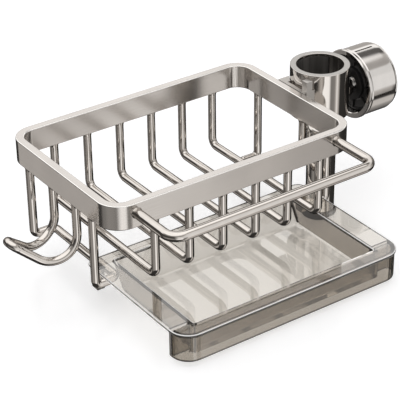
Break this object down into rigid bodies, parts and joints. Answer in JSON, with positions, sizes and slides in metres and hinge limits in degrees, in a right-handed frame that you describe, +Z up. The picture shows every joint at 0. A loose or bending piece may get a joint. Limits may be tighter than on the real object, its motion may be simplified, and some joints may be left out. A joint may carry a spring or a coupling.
{
  "type": "faucet drainer basket",
  "caption": "Wire basket with a flat steel rim that clamps to a faucet pipe, with a side hook, a towel bar, a foot post and a clear drip tray on wire rails.",
  "frame": {"origin": "centre of the clamp ring's bore, halfway up the ring, where the faucet pipe passes", "axes": "+Z up along the bore, +X from the basket to the clamp knob, -Y to the side of the towel bar and the pulled-out tray"},
  "size_m": [0.2726, 0.1655, 0.0862],
  "materials": {
    "brushed_steel": "satin brushed",
    "polished_wire": "polished",
    "chrome": "polished",
    "zinc": "satin plated",
    "brass": "machined",
    "black_plastic": "moulded",
    "rubber": "matte",
    "smoke_plastic": "clear smoke tint, glossy"
  },
  "bodies": {
    "basket": {"rim_band": "brushed_steel", "basket_wire_1": "polished_wire", "basket_wire_2": "polished_wire", "basket_wire_3": "polished_wire", "basket_wire_4": "polished_wire", "basket_wire_5": "polished_wire", "basket_wire_6": "polished_wire", "rail_wire_left": "polished_wire", "rail_wire_right": "polished_wire", "towel_bar": "polished_wire", "double_hook": "polished_wire", "post_brace": "polished_wire", "post_tube": "chrome", "post_collar": "chrome", "post_insert": "black_plastic", "clamp_bracket": "zinc", "clamp_ring": "chrome", "bore_liner": "rubber", "screw_bush": "brass"},
    "tray": {"drip_tray": "smoke_plastic"},
    "shoe": {"clamp_shoe": "zinc", "shoe_pad": "rubber"},
    "knob": {"clamp_screw": "zinc", "knob_core": "black_plastic", "knob_shell": "chrome", "knob_nut": "zinc", "knob_cap": "chrome"},
    "foot": {"foot_pad": "rubber"},
    "stud": {"foot_stud": "zinc"}
  },
  "joints": [
    {"name": "tray_slide", "type": "slide", "parent": "basket", "child": "tray", "axis": [0, 1, 0], "range_m": [-0.005, 0.051]},
    {"name": "shoe_travel", "type": "slide", "parent": "basket", "child": "shoe", "axis": [-1, 0, 0], "range_m": [0, 0.0031]},
    {"name": "knob_turn", "type": "hinge", "parent": "shoe", "child": "knob", "pos_m": [0.032, 0, -0.0043], "axis": [-1, 0, 0], "range_deg": [0, 890]},
    {"name": "foot_travel", "type": "slide", "parent": "basket", "child": "foot", "axis": [0, 0, -1], "range_m": [0, 0.006]},
    {"name": "stud_turn", "type": "hinge", "parent": "foot", "child": "stud", "pos_m": [-0.0199, -0.02736, -0.055], "axis": [0, 0, -1], "range_deg": [0, 2162]}
  ],
  "couplings": [
    {"joint": "shoe_travel", "follows": "knob_turn", "m_per_rad": 0.00019894},
    {"joint": "stud_turn", "follows": "foot_travel", "rad_per_m": 6283.2}
  ]
}
